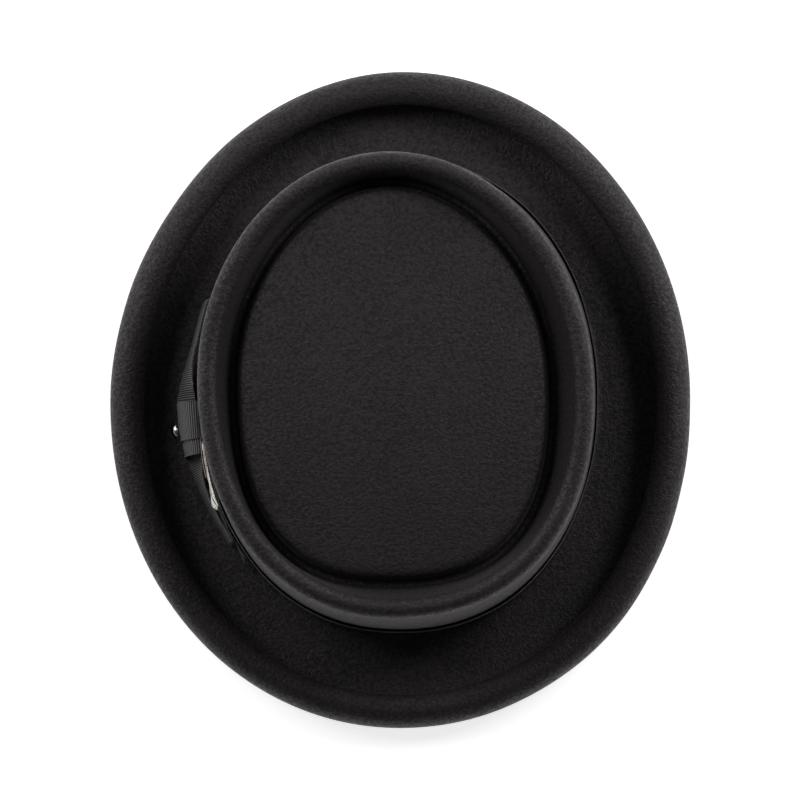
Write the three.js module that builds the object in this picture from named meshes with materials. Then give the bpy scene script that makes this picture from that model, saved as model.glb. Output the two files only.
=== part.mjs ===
// A porkpie hat of black blocked wool felt, with a grosgrain band, a side bow, a stud and two feathers.
// Millimetres, +Z up. The front of the hat is -Y and the bow is on the wearer's left, +X.
// The origin is on the table, below the middle of the brim.

import * as THREE from "three";

// Head size and felt
const HEAD_WIDTH = 170.2; // inside of the crown at its foot, side to side
const HEAD_LENGTH = 205.2; // inside of the crown at its foot, front to back
const FELT = 2.2; // wall of the crown and the brim
const FIT = 0.3; // gap between pieces that touch

// Crown
const CROWN_HEIGHT = 86; // table to the top of the ridge
const WALL_FLARE = 1; // how far the wall spreads from the top of the band to its foot
const CROWN_TAPER = 2.9; // how far the ridge stands in from the wall above the band
const WAIST = 1; // hollow under the ridge
const RIDGE_RADIUS = 4.6; // outside of the rolled ridge
const TELESCOPE = 16.75; // outside of the ridge to the edge of the tip, in plan
const MOAT_DEPTH = 20; // top of the ridge to the floor of the moat
const MOAT_RADIUS = 2.4; // round floor of the moat
const TIP_DROP = 11.5; // top of the ridge to the level of the tip
const TIP_ROUND = 3.5; // rounded edge of the tip
const TIP_DOME = 2; // rise of the tip towards its middle

// Brim
const BRIM_RUN = 42.5; // foot of the crown to the outside of the brim, in plan
const BREAK_RADIUS = 3; // hollow corner between crown and brim
const REST_RING = 13; // flat ring on which the hat rests
const BRIM_LIFT = 6; // rise of the brim at the sides, before its edge curls
const CURL_RADIUS = 8.5; // outside of the curled edge
const CURL_END = 105; // degrees at which the raw edge ends, 90 being the top of the curl

// Ribbon
const RIBBON = 1.1; // thickness of the grosgrain
const BAND_HEIGHT = 33; // width of the ribbon round the crown
const BAND_LIFT = 0.5; // bottom edge of the band above the break
const BOW_HEIGHT = 28; // width of the folded ribbon in the bow
const BOW_BEARING = 7; // degrees from +X towards the back, the middle of the knot
const BOW_DEPTH = 12; // how far the bow stands out from the band
const FRONT_LOOP_LENGTH = 46; // knot to the front fold
const BACK_LOOP_LENGTH = 43.5; // under wrap to the back fold
const TAIL_LENGTH = 51; // under wrap to the cut end of the tail
const KNOT_WIDTH = 16; // along the band
const UNDER_WRAP_SHOWN = 6.5; // of the second wrap, behind the knot
const TUCK = 2; // how far a loop or wrap reaches under what covers it

// Stud
const STUD_RADIUS = 3.6;
const STUD_DOME = 2.5;
const STUD_POST_RADIUS = 1.3;
const STUD_POST_LENGTH = 0.8;
const STUD_SHIFT = 3.2; // behind the middle of the knot
const STUD_SHARE = 0.33; // of the knot's height

// Feathers
const FEATHER = 0.7; // thickness of a vane
const CREAM_LENGTH = 52; // from the quill's end in the knot to the tip
const CREAM_WIDTH = 12;
const BROWN_LENGTH = 40;
const BROWN_WIDTH = 10;
const CREAM_ROOT = { along: 7.3, down: 14 }; // behind the knot's middle and below the band's top
const BROWN_ROOT = { along: 1.9, down: 11 };
const FEATHER_EASE = 3; // height over which the cream feather turns in from the band to the felt

const FELT_COLUMNS = 60; // columns of faces round the hat

// Ovals of the hat in plan. Each reaches out (or in, where by is negative) from an earlier one, on the
// left, right, front and back by these shares of a size. Fullness 2 is an ellipse and more is squarer.
const OVAL_ROWS = [
  { name: "middle", by: 0, left: 0, right: 0, front: 0, back: 0, frontFull: 2, backFull: 2, turn: 0 },
  { name: "foot", from: "middle", by: 1, left: 0.992 * (HEAD_WIDTH / 2 + FELT),
    right: 1.008 * (HEAD_WIDTH / 2 + FELT), front: 1.0076 * (HEAD_LENGTH / 2 + FELT),
    back: 0.9924 * (HEAD_LENGTH / 2 + FELT), frontFull: 2.08, backFull: 2.18, turn: 0 },
  { name: "wall", from: "foot", by: -WALL_FLARE, left: 1, right: 1, front: 1, back: 1,
    frontFull: 2.08, backFull: 2.18, turn: 0 },
  { name: "ridge", from: "wall", by: -CROWN_TAPER, left: 0.17, right: 1.07, front: 0.76, back: 2.03,
    frontFull: 1.98, backFull: 2.21, turn: 4.2 },
  { name: "tip", from: "ridge", by: -TELESCOPE, left: 0.99, right: 1.15, front: 0.83, back: 1.03,
    frontFull: 1.92, backFull: 2.63, turn: 1.6 },
  { name: "brim", from: "foot", by: BRIM_RUN, left: 1, right: 1, front: 0.986, back: 1.014,
    frontFull: 1.96, backFull: 2.05, turn: -1.5 },
];

function makeOvals(rows) {
  const ovals = {};
  for (const row of rows) {
    const start = ovals[row.from] ?? { left: 0, right: 0, front: 0, back: 0 };
    ovals[row.name] = {
      left: start.left + row.by * row.left,
      right: start.right + row.by * row.right,
      front: start.front + row.by * row.front,
      back: start.back + row.by * row.back,
      frontFull: row.frontFull,
      backFull: row.backFull,
      turn: THREE.MathUtils.degToRad(row.turn),
    };
  }
  return ovals;
}

const OVALS = makeOvals(OVAL_ROWS);

// The point of an oval in a direction, and the way out of the oval there.
function onOval(oval, bearing) {
  const halfWidth = (oval.left + oval.right) / 2;
  const halfLength = (oval.back + oval.front) / 2;
  const own = bearing - oval.turn;
  const full = Math.sin(own) > 0 ? oval.backFull : oval.frontFull;
  const across = Math.abs(Math.cos(own)) / halfWidth;
  const along = Math.abs(Math.sin(own)) / halfLength;
  const radius = (across ** full + along ** full) ** (-1 / full);
  const slope = new THREE.Vector2(
    (Math.sign(Math.cos(own)) * across ** (full - 1)) / halfWidth,
    (Math.sign(Math.sin(own)) * along ** (full - 1)) / halfLength,
  );
  const centre = new THREE.Vector2((oval.left - oval.right) / 2, (oval.back - oval.front) / 2);
  const point = new THREE.Vector2(Math.cos(bearing), Math.sin(bearing)).multiplyScalar(radius).add(centre);
  const outward = slope.rotateAround(new THREE.Vector2(), oval.turn).normalize();
  return { point, outward };
}

// A point beside an oval: out is its distance from the oval in plan, up its height.
function beside(oval, bearing, out, up) {
  const { point, outward } = onOval(oval, bearing);
  return new THREE.Vector3(point.x + outward.x * out, point.y + outward.y * out, up);
}

// A round bend beside an oval, in steps from one angle to another, in degrees.
function bend(oval, bearing, centre, radius, from, to, steps) {
  const points = [];
  for (let step = 0; step <= steps; step += 1) {
    const angle = THREE.MathUtils.degToRad(from + ((to - from) * step) / steps);
    const out = centre.out + radius * Math.cos(angle);
    const up = centre.up + radius * Math.sin(angle);
    points.push(beside(oval, bearing, out, up));
  }
  return points;
}

// Bearings all the way round the hat.
function bearings(count) {
  return Array.from({ length: count }, (unused, index) => (2 * Math.PI * index) / count);
}

// The way a sheet faces at each point of its grid: rows run along it and columns across it.
function facings(grid, closed) {
  const columns = grid[0].length;
  const held = (index, count) => THREE.MathUtils.clamp(index, 0, count - 1);
  const column = (index) => (closed ? (index + columns) % columns : held(index, columns));
  const row = (index) => held(index, grid.length);
  return grid.map((points, r) => {
    const found = points.map((unused, c) => {
      const along = grid[row(r + 1)][c].clone().sub(grid[row(r - 1)][c]);
      const across = points[column(c + 1)].clone().sub(points[column(c - 1)]);
      return along.cross(across).normalize();
    });
    const pole = points.every((point) => point.distanceTo(points[0]) < 1e-6);
    return pole ? points.map(() => new THREE.Vector3(0, 0, 1)) : found;
  });
}

// A closed solid from a sheet's grid, from the depth low to the depth high along the way it faces.
function thickSheet(grid, low, high, closed = false) {
  const facing = facings(grid, closed);
  const shifted = (depth) => grid.map((points, r) => points.map((point, c) =>
    point.clone().addScaledVector(facing[r][c], depth)));
  const top = shifted(high);
  const under = shifted(low);
  const corners = [];
  const triangle = (a, b, c) => {
    const flat = a.distanceTo(b) < 1e-6 || b.distanceTo(c) < 1e-6 || c.distanceTo(a) < 1e-6;
    if (!flat) corners.push(a, b, c);
  };
  const quad = (a, b, c, d) => {
    triangle(a, b, c);
    triangle(a, c, d);
  };
  const lastRow = grid.length - 1;
  const columns = grid[0].length;
  const strips = closed ? columns : columns - 1;
  for (let c = 0; c < strips; c += 1) {
    const next = (c + 1) % columns;
    for (let r = 0; r < lastRow; r += 1) {
      quad(top[r][c], top[r + 1][c], top[r + 1][next], top[r][next]);
      quad(under[r][c], under[r][next], under[r + 1][next], under[r + 1][c]);
    }
    quad(top[lastRow][c], under[lastRow][c], under[lastRow][next], top[lastRow][next]);
    quad(top[0][c], top[0][next], under[0][next], under[0][c]);
  }
  if (!closed) {
    const last = columns - 1;
    for (let r = 0; r < lastRow; r += 1) {
      quad(top[r][0], under[r][0], under[r + 1][0], top[r + 1][0]);
      quad(top[r][last], top[r + 1][last], under[r + 1][last], under[r][last]);
    }
  }
  return new THREE.BufferGeometry().setFromPoints(corners);
}

// Felt body: crown and brim, one piece of blocked felt
const TIP_LEVEL = CROWN_HEIGHT - TIP_DROP;
const MOAT_FLOOR = CROWN_HEIGHT - MOAT_DEPTH;
const RIDGE_UP = CROWN_HEIGHT - RIDGE_RADIUS;
const BREAK_UP = FELT + BREAK_RADIUS;
const BAND_BOTTOM = BREAK_UP + BAND_LIFT;
const BAND_TOP = BAND_BOTTOM + BAND_HEIGHT;

// Rings of the tip: how far out as a share of the tip.
const TIP_RINGS = [0, 0.33, 0.66, 0.9];
// Rings of the wall: how far down from the ridge to the top of the band, and how deep in the waist.
const WALL_RINGS = [
  { down: 0.2, hollow: 1 },
  { down: 0.5, hollow: 0.4 },
  { down: 1, hollow: 0 },
];
// Lift of the brim as shares of its lift at the sides.
const LIFT = { front: 0.3, back: 0.35, side: 1 };

// A point of the wall's outside between the ridge and the band, out from it by a distance.
function onUpperWall(bearing, down, out) {
  const high = beside(OVALS.ridge, bearing, out, RIDGE_UP);
  const low = beside(OVALS.wall, bearing, out, BAND_TOP);
  return high.lerp(low, down);
}

// A point of the wall's outside between the break and the top of the band.
function onLowerWall(bearing, up, out) {
  const low = beside(OVALS.foot, bearing, out, BREAK_UP);
  const high = beside(OVALS.wall, bearing, out, BAND_TOP);
  return low.lerp(high, (up - BREAK_UP) / (BAND_TOP - BREAK_UP));
}

function brimLift(bearing) {
  const end = Math.sin(bearing) > 0 ? LIFT.back : LIFT.front;
  return BRIM_LIFT * THREE.MathUtils.lerp(end, LIFT.side, Math.cos(bearing) ** 2);
}

// The outside of the crown from the middle of the tip down to the break.
function crownColumn(bearing) {
  const { tip, ridge, foot } = OVALS;
  const middle = new THREE.Vector3((tip.left - tip.right) / 2, (tip.back - tip.front) / 2, 0);
  const edge = beside(tip, bearing, -TIP_ROUND, 0);
  const top = TIP_RINGS.map((share) => {
    const point = middle.clone().lerp(edge, share);
    return point.setZ(TIP_LEVEL + TIP_DOME * (1 - share ** 2));
  });
  const tipEdge = { out: -TIP_ROUND, up: TIP_LEVEL - TIP_ROUND };
  const moat = { out: MOAT_RADIUS, up: MOAT_FLOOR + MOAT_RADIUS };
  const roll = { out: -RIDGE_RADIUS, up: RIDGE_UP };
  const corner = { out: BREAK_RADIUS, up: BREAK_UP };
  return [
    ...top,
    ...bend(tip, bearing, tipEdge, TIP_ROUND, 88, 5, 2),
    ...bend(tip, bearing, moat, MOAT_RADIUS, 185, 350, 3),
    ...bend(ridge, bearing, roll, RIDGE_RADIUS, 180, -30, 7),
    ...WALL_RINGS.map(({ down, hollow }) => onUpperWall(bearing, down, -WAIST * hollow)),
    ...bend(foot, bearing, corner, BREAK_RADIUS, 180, 270, 3),
  ];
}

// The top of the brim from the flat ring, up a slope and round the curl to the raw edge.
function brimColumn(bearing) {
  const { foot, brim } = OVALS;
  const ringEnd = BREAK_RADIUS + REST_RING;
  const flat = [BREAK_RADIUS + FELT / 2, ringEnd - FELT / 2, ringEnd];
  const lift = brimLift(bearing);
  const radius = CURL_RADIUS - FELT;
  const slope = Math.atan2(lift, (BRIM_RUN - CURL_RADIUS - ringEnd) / 2);
  const curl = { out: -CURL_RADIUS, up: FELT + radius + lift };
  const round = bend(brim, bearing, curl, radius, THREE.MathUtils.radToDeg(slope) - 90, CURL_END, 6);
  const start = beside(foot, bearing, ringEnd, FELT);
  const end = round[0];
  const reach = (end.z - FELT) / Math.tan(slope);
  const inward = start.clone().sub(end).setZ(0).setLength(reach);
  const knee = end.clone().add(inward).setZ(FELT);
  const rise = new THREE.QuadraticBezierCurve3(start, knee, end).getPoints(3);
  return [
    ...flat.map((out) => beside(foot, bearing, out, FELT)),
    ...rise.slice(1, -1),
    ...round,
  ];
}

function feltBody() {
  const columns = bearings(FELT_COLUMNS).map((bearing) => [...crownColumn(bearing), ...brimColumn(bearing)]);
  const rings = columns[0].map((unused, ring) => columns.map((column) => column[ring]));
  return thickSheet(rings, -FELT, 0, true);
}

// Hat band: a ring of ribbon on the lower wall
function hatBand() {
  const ring = (up) => bearings(FELT_COLUMNS).map((bearing) => onLowerWall(bearing, up, FIT));
  return thickSheet([ring(BAND_TOP), ring(BAND_BOTTOM)], 0, RIBBON, true);
}

// The bow is measured along the band's face: along is the way back from the middle of the knot, off the
// distance from the band's outside and up the height.
const BEARING_STEPS = 60;
const SMALL_TURN = 0.001; // radians

function bearingAlong(along) {
  let bearing = THREE.MathUtils.degToRad(BOW_BEARING);
  for (let step = 0; step < BEARING_STEPS; step += 1) {
    const here = onOval(OVALS.wall, bearing).point;
    const ahead = onOval(OVALS.wall, bearing + SMALL_TURN).point;
    bearing += (along / BEARING_STEPS / here.distanceTo(ahead)) * SMALL_TURN;
  }
  return bearing;
}

const BAND_OUT = FIT + RIBBON; // outside of the band from the felt

function onBow(along, off, up) {
  return onLowerWall(bearingAlong(along), up, BAND_OUT + off);
}

const KNOT_BOTTOM = BAND_BOTTOM - RIBBON;
const KNOT_TOP = BAND_TOP + FIT;
const BOW_BOTTOM = KNOT_BOTTOM + 2 * (RIBBON + FIT);
const BOW_TOP = BOW_BOTTOM + BOW_HEIGHT;
const KNOT_END = KNOT_WIDTH / 2;
const WRAP_END = KNOT_END + UNDER_WRAP_SHOWN;

// The face of a loop from its root to its fold: the share of its length, its height as a share of the
// ribbon's, because the knot pinches it, and how far its top edge, middle and bottom edge stand off the
// band, as shares of the bow's depth.
const FRONT_FACE = [
  { at: 0, height: 0.76, top: 0.2, middle: 0.66, bottom: 0.83 },
  { at: 0.1, height: 0.84, top: 0.22, middle: 0.72, bottom: 0.95 },
  { at: 0.22, height: 0.97, top: 0.32, middle: 0.7, bottom: 0.88 },
  { at: 0.37, height: 1, top: 0.38, middle: 0.62, bottom: 0.74 },
  { at: 0.52, height: 1, top: 0.37, middle: 0.56, bottom: 0.65 },
  { at: 0.7, height: 1, top: 0.31, middle: 0.49, bottom: 0.57 },
  { at: 1, height: 1, top: 0.3, middle: 0.46, bottom: 0.55 },
];
const BACK_FACE = [
  { at: 0, height: 0.76, top: 0.2, middle: 0.46, bottom: 0.6 },
  { at: 0.12, height: 0.86, top: 0.24, middle: 0.52, bottom: 0.7 },
  { at: 0.25, height: 0.97, top: 0.28, middle: 0.5, bottom: 0.64 },
  { at: 0.5, height: 1, top: 0.28, middle: 0.42, bottom: 0.5 },
  { at: 0.75, height: 1, top: 0.28, middle: 0.35, bottom: 0.4 },
  { at: 1, height: 1, top: 0.28, middle: 0.32, bottom: 0.35 },
];

// A value between the rows of a table, found by another of its columns.
function shareOf(rows, by, wanted, value) {
  for (let index = 1; index < rows.length; index += 1) {
    const low = rows[index - 1];
    const high = rows[index];
    if (value <= high[by]) {
      return THREE.MathUtils.lerp(low[wanted], high[wanted], (value - low[by]) / (high[by] - low[by]));
    }
  }
  return rows[rows.length - 1][wanted];
}

const UP_SHARE = { top: 1, middle: 0.5, bottom: 0 };
const FOLD_ANGLES = [-60, 0, 60];
const FOLD_START = 0.95; // share of a loop's length
const LOOP_STEPS = 6;

// A loop of ribbon: its inner layer lies flat, turns back at the fold and returns as the face.
function loopOfRibbon(face, root, length, way, innerOff) {
  const parts = ["top", "middle", "bottom"];
  const up = (at, part) => BOW_BOTTOM + BOW_HEIGHT * shareOf(face, "at", "height", at) * UP_SHARE[part];
  const leastOff = innerOff + RIBBON + 2 * FIT;
  const faceOff = (at, part) => Math.max(shareOf(face, "at", part, at) * BOW_DEPTH, leastOff);
  const spot = (at) => way * (root + length * at);
  const stops = Array.from({ length: LOOP_STEPS + 1 }, (unused, step) => (FOLD_START * step) / LOOP_STEPS);
  const strip = (at, off) => parts.map((part) => onBow(spot(at), off(at, part), up(at, part)));
  const layer = (off) => stops.map((at) => strip(at, off));
  const fold = FOLD_ANGLES.map((degrees) => parts.map((part) => {
    const angle = THREE.MathUtils.degToRad(degrees);
    const half = (faceOff(FOLD_START, part) - innerOff) / 2;
    const bulge = Math.min(half, (1 - FOLD_START) * length) * Math.cos(angle);
    const off = innerOff + half * (1 + Math.sin(angle));
    return onBow(spot(FOLD_START) + way * bulge, off, up(FOLD_START, part));
  }));
  const grid = [...layer(() => innerOff), ...fold, ...layer(faceOff).reverse()];
  if (way < 0) grid.reverse();
  return thickSheet(grid, -RIBBON / 2, RIBBON / 2);
}

const NEAR_LAYER = FIT + RIBBON / 2;
const NEXT_LAYER = NEAR_LAYER + RIBBON + FIT;

function bowFrontLoop() {
  return loopOfRibbon(FRONT_FACE, KNOT_END - TUCK, FRONT_LOOP_LENGTH + TUCK, -1, NEAR_LAYER);
}

function bowBackLoop() {
  return loopOfRibbon(BACK_FACE, WRAP_END - TUCK, BACK_LOOP_LENGTH + TUCK, 1, NEXT_LAYER);
}

// The tail lies flat on the band, under the back loop, and its end is cut on the slant.
const TAIL_STEPS = 7;
const TAIL_SLANT = 5;

function bowTail() {
  const start = WRAP_END - TUCK;
  const grid = Array.from({ length: TAIL_STEPS + 1 }, (unused, step) => {
    const share = step / TAIL_STEPS;
    const length = TAIL_LENGTH + TUCK;
    const height = BOW_HEIGHT * shareOf(BACK_FACE, "at", "height", share);
    return [
      onBow(start + (length - TAIL_SLANT) * share, FIT, BOW_BOTTOM + height),
      onBow(start + length * share, FIT, BOW_BOTTOM),
    ];
  });
  return thickSheet(grid, -RIBBON, 0);
}

// The wrap of the knot from behind the bow, over its top and down its face to its bottom: how far it
// stands off the band and how high, as shares of its depth and height.
const WRAP_SECTION = [
  { off: 0.2, up: 1 },
  { off: 0.5, up: 1 },
  { off: 0.66, up: 0.94 },
  { off: 0.8, up: 0.77 },
  { off: 0.92, up: 0.5 },
  { off: 1, up: 0.25 },
  { off: 1, up: 0.1 },
  { off: 0.88, up: 0 },
  { off: 0.05, up: 0 },
];
// Depth of the knot along the band, from its front edge to its back edge, as shares of the bow's depth.
const KNOT_COLUMNS = [
  { at: 0, depth: 1.03 },
  { at: 0.33, depth: 1.02 },
  { at: 0.66, depth: 0.98 },
  { at: 1, depth: 0.94 },
];
const UNDER_WRAP_COLUMNS = [
  { at: 0, depth: 0.8 },
  { at: 0.5, depth: 0.8 },
  { at: 1, depth: 0.8 },
];

function wrapOfRibbon(columns, start, length, bottom, top) {
  const grid = WRAP_SECTION.map((row) => columns.map((column) => {
    const off = Math.max(FIT, row.off * column.depth * BOW_DEPTH);
    return onBow(start + length * column.at, off, bottom + (top - bottom) * row.up);
  }));
  return thickSheet(grid, -RIBBON, 0);
}

function bowKnot() {
  return wrapOfRibbon(KNOT_COLUMNS, -KNOT_END, KNOT_WIDTH, KNOT_BOTTOM, KNOT_TOP);
}

function bowUnderWrap() {
  const step = RIBBON + FIT;
  const length = UNDER_WRAP_SHOWN + TUCK;
  return wrapOfRibbon(UNDER_WRAP_COLUMNS, KNOT_END - TUCK, length, KNOT_BOTTOM + step, KNOT_TOP - step);
}

// A point on the outside of the knot, by the way along it and its share of the knot's height.
function onKnot(along, share) {
  const depth = shareOf(KNOT_COLUMNS, "at", "depth", (along + KNOT_END) / KNOT_WIDTH) * BOW_DEPTH;
  const face = WRAP_SECTION.slice(2, -2).reverse();
  const off = shareOf(face, "up", "off", share) * depth;
  return onBow(along, off, KNOT_BOTTOM + (KNOT_TOP - KNOT_BOTTOM) * share);
}

// The stud's axis stands square on the face of the knot.
const STUD_STEPS = 5;

function studMesh(material) {
  const outline = [
    new THREE.Vector2(0, 0),
    new THREE.Vector2(STUD_POST_RADIUS, 0),
    new THREE.Vector2(STUD_POST_RADIUS, STUD_POST_LENGTH),
  ];
  for (let step = 0; step < STUD_STEPS; step += 1) {
    const angle = (Math.PI / 2) * (step / STUD_STEPS);
    const up = STUD_POST_LENGTH + STUD_DOME * Math.sin(angle);
    outline.push(new THREE.Vector2(STUD_RADIUS * Math.cos(angle), up));
  }
  outline.push(new THREE.Vector2(0, STUD_POST_LENGTH + STUD_DOME));
  const foot = onKnot(STUD_SHIFT, STUD_SHARE);
  const back = onKnot(STUD_SHIFT + STUD_POST_RADIUS, STUD_SHARE).sub(foot);
  const rise = onKnot(STUD_SHIFT, STUD_SHARE + STUD_POST_RADIUS / BOW_HEIGHT).sub(foot);
  const outward = back.cross(rise).normalize();
  const mesh = new THREE.Mesh(new THREE.LatheGeometry(outline, 16), material);
  mesh.quaternion.setFromUnitVectors(new THREE.Vector3(0, 1, 0), outward);
  mesh.position.copy(foot).addScaledVector(outward, FIT);
  return mesh;
}

// A feather from its quill in the knot up the crown and back: the share of its length, half its width
// as a share of its width, and how it leans away from upright in degrees.
const FEATHER_ROWS = [
  { at: 0, half: 0.1, lean: 10 },
  { at: 0.27, half: 0.1, lean: 15 },
  { at: 0.34, half: 0.1, lean: 15 },
  { at: 0.42, half: 0.28, lean: 42 },
  { at: 0.56, half: 0.46, lean: 58 },
  { at: 0.7, half: 0.5, lean: 63 },
  { at: 0.84, half: 0.4, lean: 64 },
  { at: 0.94, half: 0.22, lean: 62 },
  { at: 1, half: 0.05, lean: 60 },
];

// A point beside the crown at any height between the break and the ridge.
function onCrown(bearing, up, out) {
  if (up <= BAND_TOP) return onLowerWall(bearing, up, out);
  return onUpperWall(bearing, (RIDGE_UP - up) / (RIDGE_UP - BAND_TOP), out);
}

// Where all of its width is above the band a feather moves in towards the felt by a depth.
function feather(root, length, width, inward) {
  let along = root.along;
  let up = BAND_TOP - root.down;
  let before = 0;
  const grid = FEATHER_ROWS.map((row) => {
    const lean = THREE.MathUtils.degToRad(row.lean);
    along += length * (row.at - before) * Math.sin(lean);
    up += length * (row.at - before) * Math.cos(lean);
    before = row.at;
    const lowest = up - row.half * width * Math.sin(lean);
    const rise = THREE.MathUtils.smoothstep(lowest, BAND_TOP, BAND_TOP + FEATHER_EASE);
    const out = BAND_OUT + FIT + FEATHER - inward * rise;
    return [-1, 0, 1].map((side) => {
      const half = side * row.half * width;
      return onCrown(bearingAlong(along - half * Math.cos(lean)), up + half * Math.sin(lean), out);
    });
  });
  return thickSheet(grid, -FEATHER, 0);
}

function featherCream() {
  return feather(CREAM_ROOT, CREAM_LENGTH, CREAM_WIDTH, FEATHER + FIT);
}

function featherBrown() {
  return feather(BROWN_ROOT, BROWN_LENGTH, BROWN_WIDTH, 0);
}

// Finishes
function finish(color, roughness, metalness) {
  return new THREE.MeshStandardMaterial({ color, roughness, metalness });
}

const FELT_FINISH = finish("#201d20", 0.95, 0);
const RIBBON_FINISH = finish("#2b292c", 0.7, 0);
const STUD_FINISH = finish("#b9b6b4", 0.2, 1);
const CREAM_FINISH = finish("#e4ddcf", 0.8, 0);
const BROWN_FINISH = finish("#8a7268", 0.8, 0);

// The hat
const hat = new THREE.Group();

function add(name, mesh) {
  mesh.name = name;
  hat.add(mesh);
}

add("felt_body", new THREE.Mesh(feltBody(), FELT_FINISH));
add("hat_band", new THREE.Mesh(hatBand(), RIBBON_FINISH));
add("bow_front_loop", new THREE.Mesh(bowFrontLoop(), RIBBON_FINISH));
add("bow_back_loop", new THREE.Mesh(bowBackLoop(), RIBBON_FINISH));
add("bow_tail", new THREE.Mesh(bowTail(), RIBBON_FINISH));
add("bow_knot", new THREE.Mesh(bowKnot(), RIBBON_FINISH));
add("bow_under_wrap", new THREE.Mesh(bowUnderWrap(), RIBBON_FINISH));
add("stud", studMesh(STUD_FINISH));
add("feather_cream", new THREE.Mesh(featherCream(), CREAM_FINISH));
add("feather_brown", new THREE.Mesh(featherBrown(), BROWN_FINISH));

// The middle of the brim's outline goes over the origin.
const middle = new THREE.Box3().setFromObject(hat).getCenter(new THREE.Vector3());
hat.position.set(-middle.x, -middle.y, 0);

export default hat;
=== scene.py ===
import bisect
import math
import random

import bpy
from mathutils import Matrix, Vector, noise


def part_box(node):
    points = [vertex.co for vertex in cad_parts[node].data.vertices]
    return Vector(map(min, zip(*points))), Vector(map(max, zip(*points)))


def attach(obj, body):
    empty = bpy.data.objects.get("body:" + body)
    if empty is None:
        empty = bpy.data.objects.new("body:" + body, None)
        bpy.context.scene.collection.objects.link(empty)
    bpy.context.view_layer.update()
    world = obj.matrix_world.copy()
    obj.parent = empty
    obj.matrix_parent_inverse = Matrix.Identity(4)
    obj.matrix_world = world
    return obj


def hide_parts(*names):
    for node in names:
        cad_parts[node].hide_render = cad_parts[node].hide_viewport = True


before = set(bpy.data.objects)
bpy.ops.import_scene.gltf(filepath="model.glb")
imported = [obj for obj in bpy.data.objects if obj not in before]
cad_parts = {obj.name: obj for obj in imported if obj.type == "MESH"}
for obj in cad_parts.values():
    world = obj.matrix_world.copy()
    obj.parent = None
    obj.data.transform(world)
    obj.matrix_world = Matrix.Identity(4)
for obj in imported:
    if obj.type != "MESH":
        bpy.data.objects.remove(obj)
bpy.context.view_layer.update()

bpy.ops.object.select_all(action="DESELECT")

# Studio: a wide white table in air that is brightest near the horizon and in front of the hat, with a
# softbox on each side of its front. The camera looks straight down from a little behind the hat and to its
# right, and its lens is shifted so that the hat is in the middle.
MM = 0.001
AIM = Vector((0.4, 0.2, 10)) * MM
CAMERA_PLACE = Vector((-18.4, 67.8, 1300)) * MM
LENS = 129.1
SENSOR = 36

bpy.ops.object.camera_add(location=CAMERA_PLACE, rotation=(0, 0, math.pi))
camera = bpy.context.object
camera.data.lens = LENS
camera.data.sensor_width = SENSOR
lens_shift = (CAMERA_PLACE - AIM) * LENS / SENSOR / (CAMERA_PLACE.z - AIM.z)
camera.data.shift_x = lens_shift.x
camera.data.shift_y = lens_shift.y
camera.data.clip_end = 20
bpy.context.scene.camera = camera
bpy.context.scene.view_settings.view_transform = "Standard"


class Wire:
    """A value that runs through a tree of nodes, so that sums on it can be written as sums."""

    def __init__(self, nodes, socket):
        self.nodes = nodes
        self.socket = socket

    def sum(self, operation, first, second):
        return self.nodes.node("ShaderNodeMath", {"operation": operation}, {0: first, 1: second})

    def __add__(self, other):
        return self.sum("ADD", self, other)

    def __radd__(self, other):
        return self.sum("ADD", other, self)

    def __sub__(self, other):
        return self.sum("SUBTRACT", self, other)

    def __rsub__(self, other):
        return self.sum("SUBTRACT", other, self)

    def __mul__(self, other):
        return self.sum("MULTIPLY", self, other)

    def __rmul__(self, other):
        return self.sum("MULTIPLY", other, self)

    def __lt__(self, other):
        return self.sum("LESS_THAN", self, other)

    def __gt__(self, other):
        return self.sum("GREATER_THAN", self, other)


class Nodes:
    """A tree of nodes, and the one way in which nodes are added to it."""

    def __init__(self, tree):
        self.tree = tree

    def put(self, socket, value):
        """Gives a socket a number, a colour or a wire."""
        if isinstance(value, Wire):
            self.tree.links.new(value.socket, socket)
        else:
            socket.default_value = value

    def node(self, kind, settings=None, sockets=None, out=0):
        """Any node: its settings are made first, then its sockets are given values or wires."""
        made = self.tree.nodes.new(kind)
        for setting, value in (settings or {}).items():
            setattr(made, setting, value)
        for socket, value in (sockets or {}).items():
            self.put(made.inputs[socket], value)
        return Wire(self, made.outputs[out])


class Finish(Nodes):
    """One finish of the hat or its table: a material and the nodes that make it."""

    def __init__(self, name, **fixed):
        self.material = bpy.data.materials.new(name)
        self.material.use_nodes = True
        super().__init__(self.material.node_tree)
        self.shader = self.tree.nodes["Principled BSDF"]
        for socket, value in fixed.items():
            self.set(socket.replace("_", " "), value)

    def set(self, socket, value):
        """Gives one of the shader's own sockets a number, a colour or a wire."""
        self.put(self.shader.inputs[socket], value)

    def place(self):
        """Where a point lies on the piece."""
        return self.node("ShaderNodeTexCoord", out="Object")

    def grain(self, place, scale, detail=2.0):
        """Noise from 0 to 1: a larger scale is finer, and more detail is rougher."""
        return self.node("ShaderNodeTexNoise", {}, {"Vector": place, "Scale": scale, "Detail": detail})

    def ramp(self, value, low, high):
        """0 below one value, 1 above another, and smooth between them."""
        return self.node("ShaderNodeMapRange", {"interpolation_type": "SMOOTHSTEP"},
                         {"Value": value, "From Min": low, "From Max": high})

    def mix(self, share, first, second):
        """A colour between two colours."""
        return self.node("ShaderNodeMix", {"data_type": "RGBA"}, {0: share, 6: first, 7: second}, out=2)

    def bump(self, height, depth, strength=1.0):
        """Relief from a height of 0 to 1, with its depth in metres."""
        relief = self.node(
            "ShaderNodeBump", {}, {"Height": height, "Distance": depth, "Strength": strength})
        self.set("Normal", relief)


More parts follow.
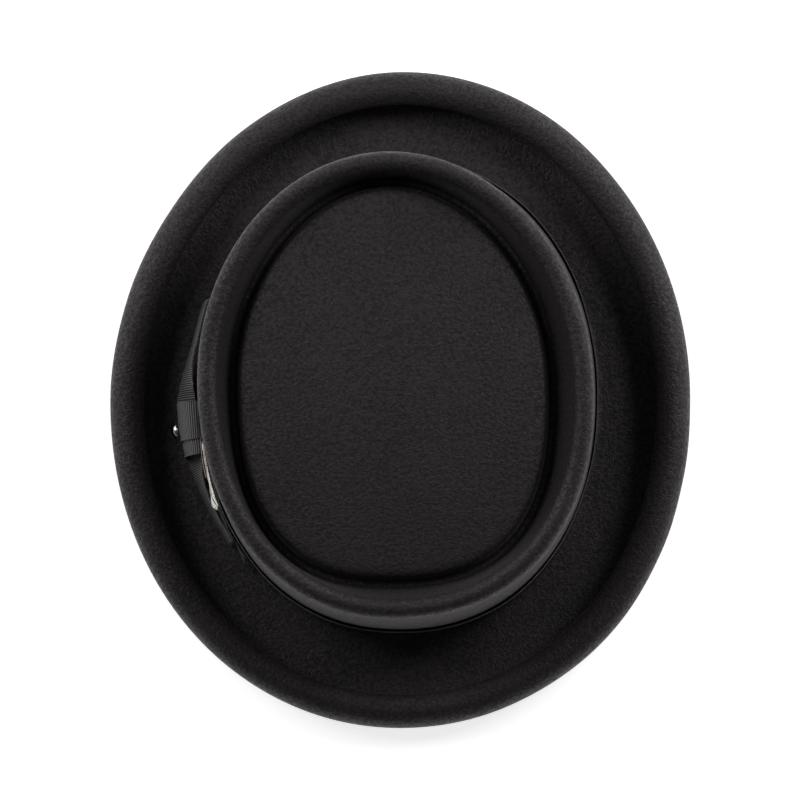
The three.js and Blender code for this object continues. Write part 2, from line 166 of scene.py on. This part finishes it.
# Axis of the direction in which the air is seen, its two ends, and the light at each end
AIR_FADES = [("Z", (0.05, 0.5), (1.3, 0.125)), ("Y", (-1, 1), (1.25, 0.22)), ("X", (0, 1), (0.6, 0.95))]

world = bpy.data.worlds.new("studio_air")
bpy.context.scene.world = world
world.use_nodes = True
air = Nodes(world.node_tree)
direction = air.node("ShaderNodeTexCoord", out="Generated")
air_light = 1
for axis, ends, lights in AIR_FADES:
    share = air.node("ShaderNodeSeparateXYZ", {}, {0: direction}, out=axis)
    if axis == "X":
        share = air.node("ShaderNodeMath", {"operation": "ABSOLUTE"}, {0: share})
    fade = dict(zip(("From Min", "From Max", "To Min", "To Max"), ends + lights))
    air_light = air.node("ShaderNodeMapRange", {}, {"Value": share, **fade}) * air_light
background = world.node_tree.nodes["Background"]
air.put(background.inputs["Strength"], air_light)
air.put(background.inputs["Color"], (1, 1, 1, 1))

# Name, place and size in metres, power in watts
SOFTBOXES = [
    ("left_softbox", (0.65, -0.4, 0.7), 0.5, 3.4),
    ("right_softbox", (-0.65, -0.5, 0.65), 0.5, 4.6),
]


def facing_hat(place):
    """The turn of a lamp at a place that shines on the hat."""
    back = (place - AIM).normalized()
    right = Vector((0, 1, 0)).cross(back).normalized()
    return Matrix((right, back.cross(right), back)).transposed().to_euler()


for name, place, size, power in SOFTBOXES:
    place = Vector(place)
    bpy.ops.object.light_add(type="AREA", location=place, rotation=facing_hat(place))
    lamp = bpy.context.object
    lamp.name = name
    lamp.data.size = size
    lamp.data.energy = power

TABLE_SIZE = 8
TABLE_DROP = 0.3  # below the hat, so that the two surfaces don't meet
TABLE_DARK = (0.93, 0.93, 0.93, 1)
TABLE_LIGHT = (0.95, 0.95, 0.95, 1)

table_finish = Finish("white_table", Roughness=0.9)
table_grain = table_finish.grain(table_finish.place(), 40.0)
table_finish.set("Base Color", table_finish.mix(table_grain, TABLE_DARK, TABLE_LIGHT))
table_finish.set("Emission Color", (1, 1, 1, 1))
table_finish.set("Emission Strength", 0.75)
bpy.ops.mesh.primitive_plane_add(size=TABLE_SIZE, location=(0, 0, -TABLE_DROP * MM))
table = bpy.context.object
table.name = "table"
table.data.materials.append(table_finish.material)

# Felt body: crown and brim are one piece of black wool felt, steamed over a block and pressed from above
# for the telescope crown, with the brim's edge rolled up and in. Its surface is a short matt nap.
FELT_LIGHT = (0.0195, 0.0155, 0.018, 1)
FELT_DARK = (0.0008, 0.0007, 0.0008, 1)
FELT_LINT = (0.11, 0.075, 0.07, 1)
FELT_RELIEF = 0.7
LINT_SIZE = 0.045  # of a speck, as a share of the distance between specks
WELD = 0.01  # corners of a mesh that are closer than this are one corner
# Bearing in degrees from the left side towards the back, and how much fuller the brim is there than its
# solid, in millimetres, because a hand-blocked brim isn't even
BRIM_FULL = [
    (0, 0.8), (60, 0.6), (90, 1.1), (110, 1.3), (135, 2.4), (150, 1.9), (165, 1.1), (180, 0.4), (225, 0.8),
    (240, 1.2), (270, 0.7), (300, 0), (320, -0.6), (340, 0.1), (360, 0.8),
]
# Shares of the brim's outline: where its extra fullness starts and over how much it grows, and where the
# part with the curl starts
FULL_FROM = 0.76
FULL_OVER = 0.18
CURL_PART = 0.84
# The brim's edge curls further over than that of its solid. Degrees round the curl, 90 being its top: where
# the two part, where the solid's edge ends, and where this one does
CURL_RADIUS = 8.5
CURL_FROM = 30
CURL_END = 105
CURL_SEEN = 160
SECTOR = 2  # degrees of the brim that give one row of a ring

felt = Finish("black_wool_felt", Specular_IOR_Level=0.5)
felt.set("Specular Tint", (1, 0.93, 0.97, 1))
felt.set("Sheen Weight", 0.08)
felt.set("Sheen Roughness", 0.4)
felt.set("Sheen Tint", (1, 0.95, 0.98, 1))
felt_place = felt.place()
nap = felt.grain(felt_place, 1500.0)
tufts = felt.grain(felt_place, 650.0, 3.0)
clouds = felt.grain(felt_place, 30.0)
felt_shade = felt.ramp(nap * 0.3 + tufts * 0.55 + clouds * 0.15, 0.4, 0.6)
lint_cells = felt.node("ShaderNodeTexVoronoi", {}, {"Vector": felt_place, "Scale": 160.0}, out="Distance")
lint = (lint_cells < LINT_SIZE) * (clouds > 0.5)
felt.set("Base Color", felt.mix(lint, felt.mix(felt_shade, FELT_DARK, FELT_LIGHT), FELT_LINT))
felt.set("Roughness", 0.68 - felt_shade * 0.22)
felt.bump(nap * 0.4 + tufts * 0.6, FELT_RELIEF * MM, 0.9)


def eased(share):
    """A share from 0 to 1 that starts and ends gently."""
    return share * share * (3 - 2 * share)


def row_at(rows, at):
    """The row of a table at a value of its first column."""
    at = min(max(at, rows[0][0]), rows[-1][0])
    for low, high in zip(rows, rows[1:]):
        if at <= high[0]:
            share = eased((at - low[0]) / (high[0] - low[0]))
            return [a + (b - a) * share for a, b in zip(low, high)]


def take(piece):
    """Takes one piece in hand: only it is selected, and it is active."""
    bpy.ops.object.select_all(action="DESELECT")
    piece.select_set(True)
    bpy.context.view_layer.objects.active = piece


def finish_with(piece, modifier, **settings):
    """Adds one modifier to a piece and applies it."""
    take(piece)
    bpy.ops.object.modifier_add(type=modifier)
    added = piece.modifiers[-1]
    for setting, value in settings.items():
        setattr(added, setting, value)
    bpy.ops.object.modifier_apply(modifier=added.name)


def rounded_copy(node, name, finish, sharp, crease):
    """A piece that starts as a solid's own mesh: its corners are merged, its triangles are paired, the edges
    that are sharper than an angle in degrees get a crease, and it is rounded by subdivision."""
    piece = bpy.data.objects.new(name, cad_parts[node].data.copy())
    bpy.context.collection.objects.link(piece)
    piece.data.materials.clear()
    piece.data.materials.append(finish.material)
    take(piece)
    any_angle = math.radians(180)
    bpy.ops.object.mode_set(mode="EDIT")
    bpy.ops.mesh.select_all(action="SELECT")
    bpy.ops.mesh.remove_doubles(threshold=WELD * MM)
    bpy.ops.mesh.tris_convert_to_quads(face_threshold=any_angle, shape_threshold=any_angle)
    bpy.ops.mesh.select_all(action="DESELECT")
    bpy.ops.mesh.edges_select_sharp(sharpness=math.radians(sharp))
    bpy.ops.transform.edge_crease(value=crease)
    bpy.ops.object.mode_set(mode="OBJECT")
    finish_with(piece, "SUBSURF", levels=2, render_levels=2)
    bpy.ops.object.shade_smooth()
    return piece


hat_felt = rounded_copy("felt_body", "blocked_felt", felt, 75, 0.3)
felt_half = (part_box("felt_body")[1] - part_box("felt_body")[0]) / 2


def bearing_of(spot):
    """Degrees round the hat, from its left side towards the back."""
    return math.degrees(math.atan2(spot.y, spot.x)) % 360


def outwards(spot):
    """How far out a point lies, as a share of the brim's outline."""
    return math.hypot(spot.x / felt_half.x, spot.y / felt_half.y)


def brim_ring(measure):
    """The largest values of a measure all round the brim, as rows of a bearing and the value."""
    largest = {}
    for vertex in hat_felt.data.vertices:
        if outwards(vertex.co) > CURL_PART:
            bearing = bearing_of(vertex.co)
            sector = int(bearing / SECTOR)
            largest[sector] = max(largest.get(sector, (0, 0)), (measure(vertex.co), bearing))
    ring = sorted((bearing, value) for value, bearing in largest.values())
    return [(ring[-1][0] - 360, ring[-1][1])] + ring + [(ring[0][0] + 360, ring[0][1])]


brim_edge = brim_ring(lambda spot: math.hypot(spot.x, spot.y))
brim_crest = brim_ring(lambda spot: spot.z)
for vertex in hat_felt.data.vertices:
    if outwards(vertex.co) > CURL_PART:
        bearing = bearing_of(vertex.co)
        away = math.hypot(vertex.co.x, vertex.co.y)
        centre = row_at(brim_edge, bearing)[1] - CURL_RADIUS * MM
        level = row_at(brim_crest, bearing)[1] - CURL_RADIUS * MM
        angle = math.degrees(math.atan2(vertex.co.z - level, away - centre))
        if angle > CURL_FROM:
            reach = math.hypot(vertex.co.z - level, away - centre)
            angle = CURL_FROM + (angle - CURL_FROM) * (CURL_SEEN - CURL_FROM) / (CURL_END - CURL_FROM)
            angle = math.radians(angle)
            out = (centre + reach * math.cos(angle)) / away
            vertex.co = (vertex.co.x * out, vertex.co.y * out, level + reach * math.sin(angle))
for vertex in hat_felt.data.vertices:
    spot = Vector((vertex.co.x, vertex.co.y, 0))
    share = min(max((outwards(spot) - FULL_FROM) / FULL_OVER, 0), 1)
    vertex.co += spot.normalized() * row_at(BRIM_FULL, bearing_of(spot))[1] * MM * eased(share)
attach(hat_felt, "root")
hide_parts("felt_body")

# Hat band: a grosgrain ribbon drawn tight round the foot of the crown, its ends joined under the bow.
# Grosgrain is a ribbed ribbon with a fine firm edge; the ribs run across it, about one to a millimetre.
RIBBON_THICK = 0.45
BAND_WIDTH = 33
RIB_PITCH = 1.0
THREAD_PITCH = 0.32
RIB_RELIEF = 0.26
# The two ends of the ribbon's colour: the dark end is painted shade in the grooves between the ribs, and the
# light end is a painted highlight on the rib tops.
RIBBON_GROOVE_SHADE = (0.004, 0.0042, 0.0042, 1)
RIBBON_RIB_TOP_HIGHLIGHT = (0.25, 0.253, 0.253, 1)

grosgrain = Finish("black_grosgrain", Roughness=0.6, Specular_IOR_Level=0.22)
grosgrain.set("Sheen Weight", 0.05)
grosgrain.set("Sheen Roughness", 0.4)
weave = grosgrain.node("ShaderNodeUVMap", {"uv_map": "ribbon"})
thread_noise = grosgrain.grain(weave, 700.0)


def threads(axis, pitch):
    """Waves from 0 to 1 along an axis of the ribbon, with an uneven pitch in millimetres."""
    distance = grosgrain.node("ShaderNodeSeparateXYZ", {}, {0: weave}, out=axis)
    angle = distance * (2 * math.pi / (pitch * MM)) + (thread_noise - 0.5) * 0.9
    return grosgrain.node("ShaderNodeMath", {"operation": "SINE"}, {0: angle}) * 0.5 + 0.5


rib = threads("X", RIB_PITCH)
warp = threads("Y", THREAD_PITCH)
# The ribbon's colour is partly its threads' own uneven tone and mostly painted light: the rib tops are painted
# lighter as a highlight, and the grooves between them darker as shade.
rib_light_and_thread_tone = rib * rib * 0.75 + rib * warp * 0.15 + thread_noise * 0.1
grosgrain.set("Base Color", grosgrain.mix(rib_light_and_thread_tone, RIBBON_GROOVE_SHADE, RIBBON_RIB_TOP_HIGHLIGHT))
grosgrain.bump(rib * 0.85 + warp * 0.15, RIB_RELIEF * MM)


def through(points, at, closed=False):
    """A smooth line through points: at counts them, and shows how far along the line is meant."""
    count = len(points)
    first = math.floor(at) if closed else min(max(math.floor(at), 0), count - 2)
    share = at - first
    near = [points[(first + step) % count if closed else min(max(first + step, 0), count - 1)]
            for step in (-1, 0, 1, 2)]
    before, start, end, after = (Vector(point) for point in near)
    return 0.5 * (2 * start + (end - before) * share
                  + (2 * before - 5 * start + 4 * end - after) * share ** 2
                  + (3 * start - before - 3 * end + after) * share ** 3)


def rings_of_band():
    """The bottom and top outlines of the band's solid, on its outside, as points by their bearing."""
    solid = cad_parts["hat_band"].data
    middle = (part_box("hat_band")[0].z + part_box("hat_band")[1].z) / 2
    corners = set()
    for face in solid.polygons:
        away = Vector((face.center.x, face.center.y, 0))
        if face.normal.dot(away) > 0.5 * away.length:
            for index in face.vertices:
                corners.add(tuple(round(value, 6) for value in solid.vertices[index].co))
    rings = []
    for ring in ([c for c in corners if c[2] < middle], [c for c in corners if c[2] > middle]):
        rings.append(sorted(ring, key=lambda corner: math.atan2(corner[1], corner[0])))
    return rings


BAND_FOOT, BAND_TOP = rings_of_band()
STEPS_BETWEEN = 16  # two corners of the band's outline
A_LITTLE = 0.05  # of the way between two corners
outline = [through(BAND_TOP, step / STEPS_BETWEEN, closed=True)
           for step in range(len(BAND_TOP) * STEPS_BETWEEN)]
lengths = [0]
for here, ahead in zip(outline, outline[1:] + outline[:1]):
    lengths.append(lengths[-1] + (ahead - here).length / MM)
ROUND = lengths[-1]
knot_middle = (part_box("bow_knot")[0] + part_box("bow_knot")[1]) / 2
knot_step = min(range(len(outline)), key=lambda step: (outline[step].xy - knot_middle.xy).length)


def on_band(along, off, up):
    """A point on the band, in millimetres: along it to the back from the middle of the knot, off its
    outside, and up from the table."""
    distance = (lengths[knot_step] + along) % ROUND
    step = bisect.bisect_right(lengths, distance) - 1
    at = (step + (distance - lengths[step]) / (lengths[step + 1] - lengths[step])) / STEPS_BETWEEN
    low = through(BAND_FOOT, at, closed=True)
    high = through(BAND_TOP, at, closed=True)
    way = through(BAND_TOP, at + A_LITTLE, closed=True) - through(BAND_TOP, at - A_LITTLE, closed=True)
    way.normalize()
    point = low.lerp(high, (up * MM - low.z) / (high.z - low.z))
    return point + Vector((way.y, -way.x, 0)) * off * MM


def share_grid(name, along, across, middle):
    """A grid one metre long and wide, whose points are shares of a strip's length and width."""
    bpy.ops.mesh.primitive_grid_add(x_subdivisions=along, y_subdivisions=across, size=1, location=middle)
    grid = bpy.context.object
    grid.name = name
    bpy.ops.object.transform_apply(location=True, rotation=True, scale=True)
    return grid


def ribbon(name, length, width, steps, rows, place):
    """A strip of grosgrain: a grid is laid out by its length and width, each point is placed by its
    shares of both, and the strip gets its thickness. Its ribs follow its own length."""
    strip = share_grid(name, steps, rows, (0.5, 0.5, 0))
    strip.data.uv_layers[0].name = "ribbon"
    for corner in strip.data.loops:
        share = strip.data.vertices[corner.vertex_index].co
        strip.data.uv_layers[0].data[corner.index].uv = (share.x * length * MM, share.y * width * MM)
    for vertex in strip.data.vertices:
        vertex.co = place(vertex.co.x, vertex.co.y)
    bpy.ops.object.mode_set(mode="EDIT")
    bpy.ops.mesh.select_all(action="SELECT")
    bpy.ops.mesh.remove_doubles(threshold=WELD * MM)
    bpy.ops.mesh.normals_make_consistent(inside=False)
    bpy.ops.object.mode_set(mode="OBJECT")
    finish_with(strip, "SOLIDIFY", thickness=RIBBON_THICK * MM, offset=0, use_even_offset=True)
    bpy.ops.object.shade_smooth_by_angle(angle=math.radians(50))
    strip.data.materials.append(grosgrain.material)
    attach(strip, "root")
    return strip


BAND_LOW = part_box("hat_band")[0].z / MM
BAND_OFF = -0.75  # of the middle of the ribbon from the outside of its solid
# Slight waves of the band's top edge: how deep, how many round the crown, and where they start
BAND_WAVES = [(0.12, 7, 0), (0.08, 16, 1)]


def on_crown(along, over):
    """The band's place round the crown: it starts and ends under the middle of the knot."""
    ease = sum(deep * math.sin(along * 2 * math.pi * count + start) for deep, count, start in BAND_WAVES)
    return on_band(along * ROUND, BAND_OFF + ease * over, BAND_LOW + over * BAND_WIDTH)


band = ribbon("band_ribbon", ROUND, BAND_WIDTH, 360, 8, on_crown)
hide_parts("hat_band")

# Bow tail: one loose end of the bow's ribbon, which lies on the band under the back loop. It comes out
# from under the second wrap, and its end is cut on a slant and lifts away a little.
BOW_LOW = 7.4
BOW_WIDTH = 28
KNOT_WIDTH = 16
WRAP_SHOWN = 6.7
TUCK = 2
TAIL_LENGTH = 51.5
TAIL_SLANT = 3
TAIL_HOLLOW = 0.25
BACK_ROOT = KNOT_WIDTH / 2 + WRAP_SHOWN - TUCK
# Share of the length, width as a share, and how far the top and bottom edges stand off the band
TAIL_ROWS = [
    (0, 0.8, 0.15, 0.2), (0.3, 0.96, 0.15, 0.3), (0.6, 1, 0.2, 0.5), (0.85, 0.95, 0.3, 1.9), (1, 0.78, 0.5, 3),
]


def on_tail(along, over):
    """The tail's place on the band, by its shares of length and width."""
    _, height, top, bottom = row_at(TAIL_ROWS, along)
    length = TAIL_LENGTH + TUCK - TAIL_SLANT * over
    off = bottom + (top - bottom) * over - TAIL_HOLLOW * math.sin(math.pi * over) * along
    return on_band(BACK_ROOT + length * along, off, BOW_LOW + BOW_WIDTH * height * over)


tail = ribbon("tail_ribbon", TAIL_LENGTH + TUCK, BOW_WIDTH, 60, 12, on_tail)
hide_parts("bow_tail")

# Bow loops: the ribbon is folded back on itself on both sides of the knot, which pinches it, so each
# loop's face stands out from the band at its bottom edge and lies close to it at its top edge.
FRONT_LENGTH = 46
BACK_LENGTH = 42.6
FRONT_INNER = 0.2  # how far the hidden half of a loop stands off the band
BACK_INNER = 0.75
FOLD_REACH = 2.4  # how far a fold bulges beyond the flat part of its loop
# Share of the length from the knot, width as a share, and how far the top edge, middle and bottom edge
# of the face stand off the band
FRONT_ROWS = [
    (0, 0.62, 2.2, 8.6, 12.2), (0.1, 0.8, 2.8, 8.4, 11.9), (0.2, 0.94, 3.5, 8, 11.1), (0.3, 1, 4, 7.4, 10.2),
    (0.42, 1, 4.3, 6.7, 8.9), (0.52, 1, 4, 6.1, 8.1), (0.62, 1, 3.4, 5.5, 7.3), (0.8, 1, 3.2, 5.2, 7),
    (1, 1, 3.2, 5, 6.8),
]
BACK_ROWS = [
    (0, 0.66, 1.4, 6, 9.5), (0.12, 0.85, 1.9, 5.8, 9), (0.25, 0.97, 2.9, 5.6, 8.1), (0.36, 1, 3.1, 5.2, 7.2),
    (0.5, 1, 2.8, 4.7, 6.4), (0.62, 1, 2.2, 4, 5.8), (0.75, 1, 2, 3.6, 5.1), (0.88, 1, 1.4, 2.9, 4.6),
    (1, 1, 1.4, 2.8, 4.2),
]


def loop_of_ribbon(name, rows, root, length, way, inner):
    """A loop from its root under the knot, along the band, round its fold and back as its face."""
    turn = math.pi / 2 * (row_at(rows, 1)[3] - inner)
    total = 2 * length + turn

    def face(at, over):
        _, height, top, middle, bottom = row_at(rows, at)
        bulge = 4 * (middle - (top + bottom) / 2) * over * (1 - over)
        return bottom + (top - bottom) * over + bulge, height

    def place(along, over):
        gone = along * total
        if gone < length:
            at, off, out = gone / length, inner, 0
        elif gone < length + turn:
            angle = math.pi * ((gone - length) / turn - 0.5)
            rise = (face(1, over)[0] - inner) / 2
            at, off = 1, inner + rise * (1 + math.sin(angle))
            out = min(rise, FOLD_REACH) * math.cos(angle)
        else:
            at = (total - gone) / length
            off, out = face(at, over)[0], 0
        spot = root + (length - FOLD_REACH) * at + out
        return on_band(way * spot, off, BOW_LOW + BOW_WIDTH * face(at, over)[1] * over)

    loop = ribbon(name, total, BOW_WIDTH, 130, 14, place)
    total * MM
    return loop


front_loop = loop_of_ribbon(
    "front_loop_ribbon", FRONT_ROWS, KNOT_WIDTH / 2 - TUCK, FRONT_LENGTH + TUCK, -1, FRONT_INNER)
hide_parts("bow_front_loop")
back_loop = loop_of_ribbon("back_loop_ribbon", BACK_ROWS, BACK_ROOT, BACK_LENGTH + TUCK, 1, BACK_INNER)
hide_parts("bow_back_loop")

# Knot and second wrap: two short widths of the same ribbon are wrapped over the middle of the bow, one
# on the other, and sewn down behind it. The wider one covers most of the other.
KNOT_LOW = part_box("bow_knot")[0].z / MM
KNOT_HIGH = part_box("bow_knot")[1].z / MM
KNOT_DEPTHS = (11.9, 10.9)  # off the band, at the front and back edges of a wrap
WRAP_DEPTHS = (10.4, 10)
WRAP_LOW = KNOT_LOW + 1.4
WRAP_HIGH = KNOT_HIGH - 1.2
WRAP_WIDTH = 12
WRAP_CREASE = 0.12
WRAP_LIFT = 0.3  # of a wrap's back edge
MARKS_BETWEEN = 20  # two points of the path
# Off the band, and the height as a share, from behind the bow over the top and down to its foot
WRAP_PATH = [
    (0.05, 0.96), (0.14, 0.99), (0.32, 0.985), (0.5, 0.955), (0.68, 0.88), (0.82, 0.75), (0.91, 0.58),
    (0.97, 0.4), (1, 0.24), (0.98, 0.1), (0.86, 0.03), (0.6, 0.012), (0.3, 0.012), (0.06, 0.02),
]


def wrap_of_ribbon(name, start, shown, depths, low, high):
    """A width of ribbon over the bow, with its depth at its front and back edges."""
    path = [Vector((off * depths[0], low + (high - low) * up)) for off, up in WRAP_PATH]
    marks = [through(path, step / MARKS_BETWEEN) for step in range(MARKS_BETWEEN * (len(path) - 1) + 1)]
    gone = [0]
    for here, ahead in zip(marks, marks[1:]):
        gone.append(gone[-1] + (ahead - here).length)

    def place(along, over):
        step = min(bisect.bisect_right(gone, along * gone[-1]), len(gone) - 1)
        share = (along * gone[-1] - gone[step - 1]) / (gone[step] - gone[step - 1])
        mark = marks[step - 1].lerp(marks[step], share)
        deep = 1 + (depths[1] / depths[0] - 1) * over
        crease = WRAP_CREASE * math.sin(over * 9 + along * 5) * math.sin(math.pi * along)
        lift = WRAP_LIFT * over ** 12
        return on_band(start + shown * over, mark.x * deep + crease + lift, mark.y)

    wrap = ribbon(name, gone[-1], shown, 90, 16, place)
    return wrap


wrap_start = KNOT_WIDTH / 2 + WRAP_SHOWN - WRAP_WIDTH
second_wrap = wrap_of_ribbon(
    "second_wrap_ribbon", wrap_start, WRAP_WIDTH, WRAP_DEPTHS, WRAP_LOW, WRAP_HIGH)
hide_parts("bow_under_wrap")
knot = wrap_of_ribbon("knot_ribbon", -KNOT_WIDTH / 2, KNOT_WIDTH, KNOT_DEPTHS, KNOT_LOW, KNOT_HIGH)
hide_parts("bow_knot")

# Stud: a small button with a domed head of polished steel. Its post is pressed through the knot near the
# knot's foot, so that the head stands on the ribbon.
STEEL_DARK = (0.82, 0.81, 0.8, 1)
STEEL_LIGHT = (0.92, 0.91, 0.9, 1)
SCRATCH_DEPTH = 0.01

steel = Finish("polished_steel", Metallic=1.0)
scratches = steel.grain(steel.place(), 2500.0, 3.0)
steel.set("Base Color", steel.mix(scratches, STEEL_DARK, STEEL_LIGHT))
steel.set("Roughness", scratches * 0.08 + 0.04)
steel.bump(scratches, SCRATCH_DEPTH * MM, 0.4)

button = rounded_copy("stud", "domed_stud", steel, 55, 0.7)
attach(button, "root")
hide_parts("stud")

# Feathers: a cream body feather and a smaller brown one outside it. Their quills are tucked behind the
# knot, and they lean back along the crown. Each is a bare quill with soft barbs that part near their ends.
CREAM_ROOT = (7.3, 24.7)  # along the band from the middle of the knot, and up from the table
BROWN_ROOT = (1.9, 27.7)
CREAM_LENGTH = 54
BROWN_LENGTH = 40
CREAM_WIDTH = 12
BROWN_WIDTH = 10
CREAM_SPLIT = 0.8  # share of the length beyond which a vane is parted along its quill
BROWN_SPLIT = 1
# Share of the length, half its width as a share, the lean from upright in degrees, and how far the upper
# and lower edges of the vane stand off the band
CREAM_ROWS = [
    (0, 0.04, 10, 0.3, 0.3), (0.27, 0.06, 15, 0.4, 0.4), (0.34, 0.08, 15, 0.3, 0.5),
    (0.42, 0.28, 42, -0.5, 0.4), (0.56, 0.46, 58, -0.8, 0.5), (0.7, 0.5, 63, -0.9, 0.5),
    (0.8, 0.45, 64, -0.9, 1.2), (0.9, 0.32, 63, -0.8, 2), (1, 0.14, 60, -0.8, 0.4),
]
BROWN_ROWS = [
    (0, 0.04, 10, 0.3, 0.3), (0.34, 0.04, 15, 0.2, 0.2), (0.42, 0.06, 42, 0.1, 0.2),
    (0.56, 0.14, 58, 0.5, 0.9), (0.7, 0.25, 63, 0.6, 1.1), (0.84, 0.25, 64, 0.7, 1.2), (1, 0.08, 60, 0.7, 1),
]
BARB_ROWS = 150
BARB_GROUP = 3  # rows of barbs that cling together
BARB_SWEEP = 5
BARB_ENDS = (0.86, 1.08)  # shortest and longest barbs, as shares of the vane's half width
BARB_RELIEF = 0.1
QUILL_GAP = 0.09  # share of the width on each side of the quill
VANE_THICK = 0.12
FLUTTER = 0.15


def plume_finish(name, dark, light):
    """The finish of soft barbs, between a dark and a light colour."""
    finish = Finish(name, Roughness=0.7)
    finish.set("Sheen Weight", 0.3)
    barbs = finish.grain(finish.place(), 900.0, 3.0)
    finish.set("Base Color", finish.mix(barbs, dark, light))
    finish.bump(barbs, BARB_RELIEF * MM, 0.5)
    return finish


def plume(name, finish, rows, root, length, width, split, seed):
    """A feather: a grid of barbs on both sides of the quill, parted outside the middle of each vane and,
    beyond a share of its length, along the quill too."""
    chance = random.Random(seed)
    vane = share_grid(name, BARB_ROWS, 12, (0.5, 0, 0))
    bpy.ops.object.mode_set(mode="EDIT")
    bpy.ops.mesh.select_all(action="DESELECT")
    bpy.ops.object.mode_set(mode="OBJECT")
    gaps = [chance.random() for row in range(BARB_ROWS)]
    for face in vane.data.polygons:
        row = int(face.center.x * BARB_ROWS)
        away = abs(face.center.y)
        between_barbs = row % BARB_GROUP == BARB_GROUP - 1 and away > 0.1 + 0.3 * gaps[row]
        face.select = between_barbs or (face.center.x > split and away < QUILL_GAP)
    bpy.ops.object.mode_set(mode="EDIT")
    bpy.ops.mesh.delete(type="FACE")
    bpy.ops.object.mode_set(mode="OBJECT")
    line = [(*root, 0)]
    for low, high in zip(rows, rows[1:]):
        lean = math.radians((low[2] + high[2]) / 2)
        step = length * (high[0] - low[0])
        line.append((line[-1][0] + step * math.sin(lean), line[-1][1] + step * math.cos(lean), 0))
    shares = [row[0] for row in rows]
    ragged = [chance.uniform(*BARB_ENDS) for row in range(BARB_ROWS + 1)]
    for vertex in vane.data.vertices:
        at, side = vertex.co.x, 2 * vertex.co.y
        row = round(at * BARB_ROWS)
        _, half, lean, upper, lower = row_at(rows, at)
        index = min(max(bisect.bisect_right(shares, at), 1), len(shares) - 1)
        spot = through(line, index - 1 + (at - shares[index - 1]) / (shares[index] - shares[index - 1]))
        lean = math.radians(lean)
        reach = side * half * width * ragged[row // BARB_GROUP * BARB_GROUP]
        sweep = abs(side) ** 1.5 * BARB_SWEEP * half
        along = spot.x - reach * math.cos(lean) + sweep * math.sin(lean)
        up = spot.y + reach * math.sin(lean) + sweep * math.cos(lean)
        off = lower + (upper - lower) * (side + 1) / 2
        flutter = FLUTTER * noise.noise(Vector((row / 9, side * 2, seed)))
        vertex.co = on_band(along, off + flutter, up)
    finish_with(vane, "SOLIDIFY", thickness=VANE_THICK * MM, offset=0)
    bpy.ops.object.shade_smooth_by_angle(angle=math.radians(50))
    vane.data.materials.append(finish.material)
    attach(vane, "root")
    return vane


cream_finish = plume_finish("cream_barbs", (0.72, 0.67, 0.58, 1), (0.93, 0.91, 0.86, 1))
cream = plume(
    "cream_plume", cream_finish, CREAM_ROWS, CREAM_ROOT, CREAM_LENGTH, CREAM_WIDTH, CREAM_SPLIT, 3)
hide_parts("feather_cream")
brown_finish = plume_finish("brown_barbs", (0.1, 0.065, 0.05, 1), (0.34, 0.24, 0.2, 1))
brown = plume(
    "brown_plume", brown_finish, BROWN_ROWS, BROWN_ROOT, BROWN_LENGTH, BROWN_WIDTH, BROWN_SPLIT, 8)
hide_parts("feather_brown")

bpy.context.view_layer.update()
